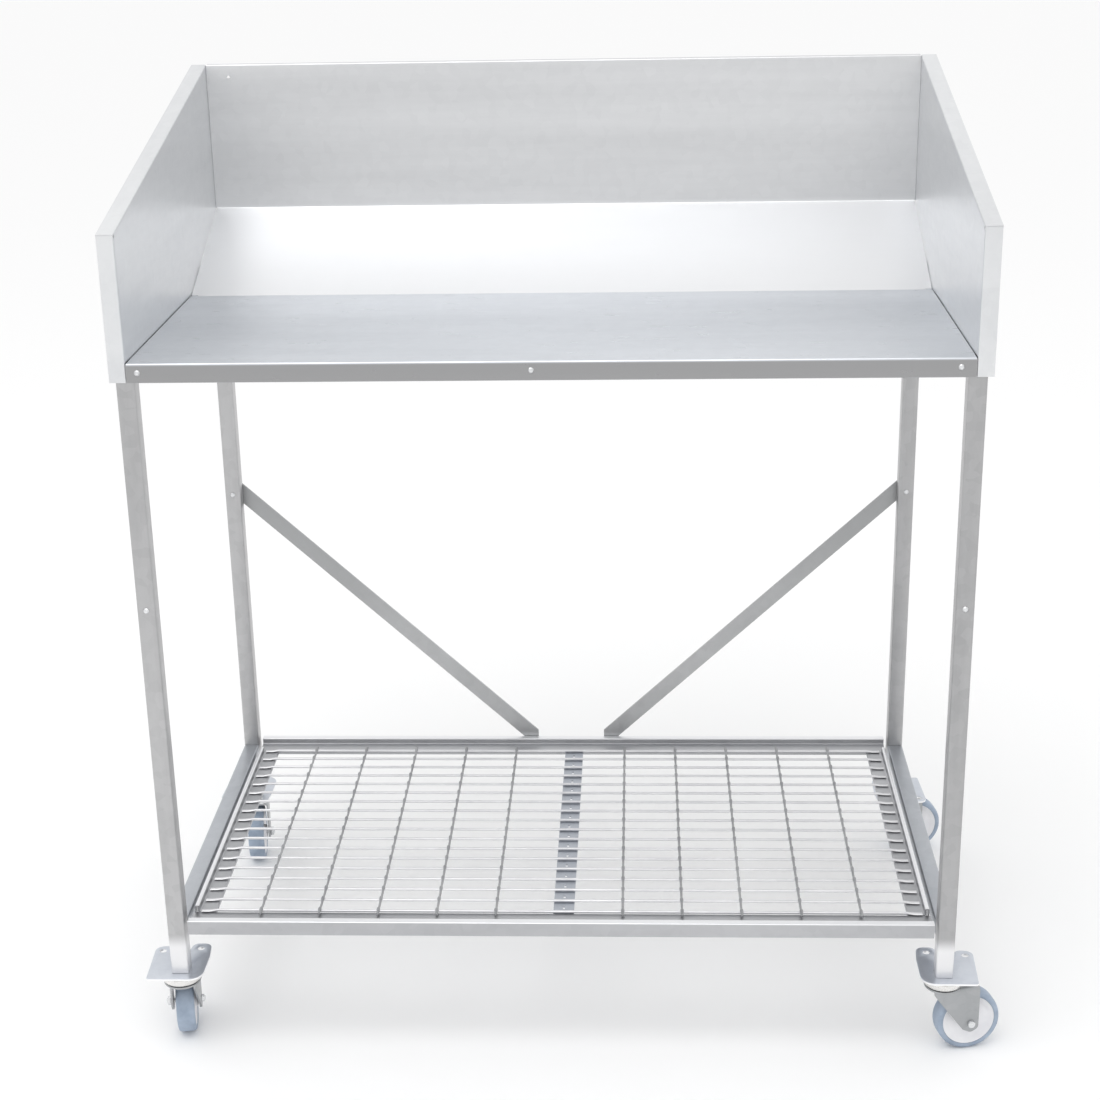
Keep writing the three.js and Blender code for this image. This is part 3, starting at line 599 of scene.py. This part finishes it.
for corner in ("front_left", "front_right", "rear_left", "rear_right"):
    swivel, roll = joints[f"{corner}_castor_swivel"], joints[f"{corner}_wheel_roll"]
    pivot = Vector((*swivel["pos_m"][:2], 0))
    ahead = (Vector((*roll["pos_m"][:2], 0)) - pivot).normalized()
    axle_line = Vector(roll["axis"])

    def on_fork(x, y, z):
        return pivot + (ahead * x + axle_line * y + Vector((0, 0, z))) * MM

    over_wheel = [(CHEEK_OUT, 20), (CHEEK_OUT, CROWN_TOP), (-CHEEK_OUT, CROWN_TOP), (-CHEEK_OUT, 20)]
    channel = sheet_section(over_wheel, CHEEK_THICK, 5)
    bm = bmesh.new()
    stations = [(-18, 0.80), (14, 1.0), (40, 1.0)]
    rings = [[bm.verts.new((x, y * width, z)) for y, z in channel] for x, width in stations]
    for first, second in zip(rings, rings[1:]):
        for k in range(len(channel)):
            m = (k + 1) % len(channel)
            bm.faces.new((first[k], first[m], second[m], second[k]))
    bm.faces.new(rings[0])
    bm.faces.new(rings[-1])
    outline = bmesh.new()
    prism(outline, rounded_outline(CHEEK_CORNERS), lambda a, b, t: Vector((a, t, b)), -40, 40)
    bm = carved(bm, outline, "INTERSECT")
    for vert in bm.verts:
        vert.co = on_fork(*vert.co)
    crown = [(4.3, 84.4), (4.3, 81.6), (19.5, 81.6), (21.2, 82.3), (21.6, 83.2), (20.8, 84.3)]
    turned(bm, crown, on_fork, 48)
    piece(f"{corner}_fork_pressing", bm, fork_zinc, f"{corner}_swivel", "fork_zinc", f"{corner}_castor_fork")

    bm = bmesh.new()
    turned(bm, [(0, 101), (4.6, 100.2), (6.2, 98.8), (6.4, 97.4), (4, 97.2), (4, 81.2), (6.6, 81.1),
                (6.6, 79), (5.4, 77.4), (0, 77)], on_fork, 24)
    piece(f"{corner}_king_pin", bm, fork_zinc, "bench", "fork_zinc", f"{corner}_castor_pin")

# ---- Axles: a round-headed bolt through both cheeks and the wheel, held by a nut on the far side.

axle_zinc = galvanised("axle zinc", (0.82, 0.83, 0.84), (0.72, 0.73, 0.74), 0.26)
hub_white = bpy.data.materials.new("white hub plastic")
tyre_grey = bpy.data.materials.new("blue-grey tyre rubber")
for made, light, dark, rough, scale in ((hub_white, (0.86, 0.86, 0.88), (0.76, 0.76, 0.79), 0.42, 30),
                                        (tyre_grey, (0.36, 0.43, 0.53), (0.27, 0.33, 0.42), 0.55, 55)):
    made.use_nodes = True
    nodes, links = made.node_tree.nodes, made.node_tree.links
    surface = nodes["Principled BSDF"]
    surface.inputs["Roughness"].default_value = rough
    place = nodes.new("ShaderNodeTexCoord")
    mottle = nodes.new("ShaderNodeTexNoise")
    mottle.inputs["Scale"].default_value = scale
    mottle.inputs["Detail"].default_value = 5
    tones = nodes.new("ShaderNodeValToRGB")
    tones.color_ramp.elements[0].position, tones.color_ramp.elements[1].position = 0.35, 0.65
    tones.color_ramp.elements[0].color, tones.color_ramp.elements[1].color = (*dark, 1), (*light, 1)
    links.new(place.outputs["Object"], mottle.inputs["Vector"])
    links.new(mottle.outputs["Fac"], tones.inputs["Fac"])
    links.new(tones.outputs["Color"], surface.inputs["Base Color"])
    pores = nodes.new("ShaderNodeTexNoise")
    pores.inputs["Scale"].default_value = 700
    relief = nodes.new("ShaderNodeBump")
    relief.inputs["Strength"].default_value = 0.15
    relief.inputs["Distance"].default_value = 0.0003
    links.new(place.outputs["Object"], pores.inputs["Vector"])
    links.new(pores.outputs["Fac"], relief.inputs["Height"])
    links.new(relief.outputs["Normal"], surface.inputs["Normal"])

for corner in ("front_left", "front_right", "rear_left", "rear_right"):
    roll = joints[f"{corner}_wheel_roll"]
    centre, axle_line = Vector(roll["pos_m"]), Vector(roll["axis"])
    ahead = axle_line.cross(Vector((0, 0, 1)))

    def on_axle(a, b, h):
        return centre + (ahead * a + Vector((0, 0, b)) + axle_line * h) * MM

    bm = bmesh.new()
    turned(bm, [(0, -22), (2.4, -21.7), (4.1, -20.6), (4.7, -19), (4.7, -17.8), (3, -17.8), (3, 22.9),
                (2.4, 23.6), (0, 23.6)], on_axle, 28)
    piece(f"{corner}_axle_bolt", bm, axle_zinc, f"{corner}_swivel", "bright_zinc", f"{corner}_castor_axle")
    bm = bmesh.new()
    turned(bm, [(3.3, 17.8), (5.2, 17.8), (5.6, 18.3), (5.6, 21.7), (5.2, 22.2), (3.3, 22.2)], on_axle, 6)
    piece(f"{corner}_axle_nut", bm, axle_zinc, f"{corner}_swivel", "bright_zinc", f"{corner}_castor_nut")

    half_hub = [(3.3, -13), (8.2, -13), (9.2, -12.4), (10.2, -9.2), (12, -8), (23, -7), (26, -7.6),
                (28.5, -9.4), (30.7, -9.9)]
    bm = bmesh.new()
    turned(bm, half_hub + [(r, -h) for r, h in reversed(half_hub)], on_axle, 64)
    piece(f"{corner}_wheel_hub", bm, hub_white, f"{corner}_wheel", "hub_plastic", f"{corner}_castor_hub")
    half_tyre = [(31, -10.2), (32, -10.6), (34, -10.7), (35.6, -10.2), (36.7, -9), (37.3, -7), (37.5, -4.5)]
    bm = bmesh.new()
    turned(bm, half_tyre + [(r, -h) for r, h in reversed(half_tyre)], on_axle, 72)
    piece(f"{corner}_wheel_tyre", bm, tyre_grey, f"{corner}_wheel", "tyre_rubber", f"{corner}_castor_tyre")
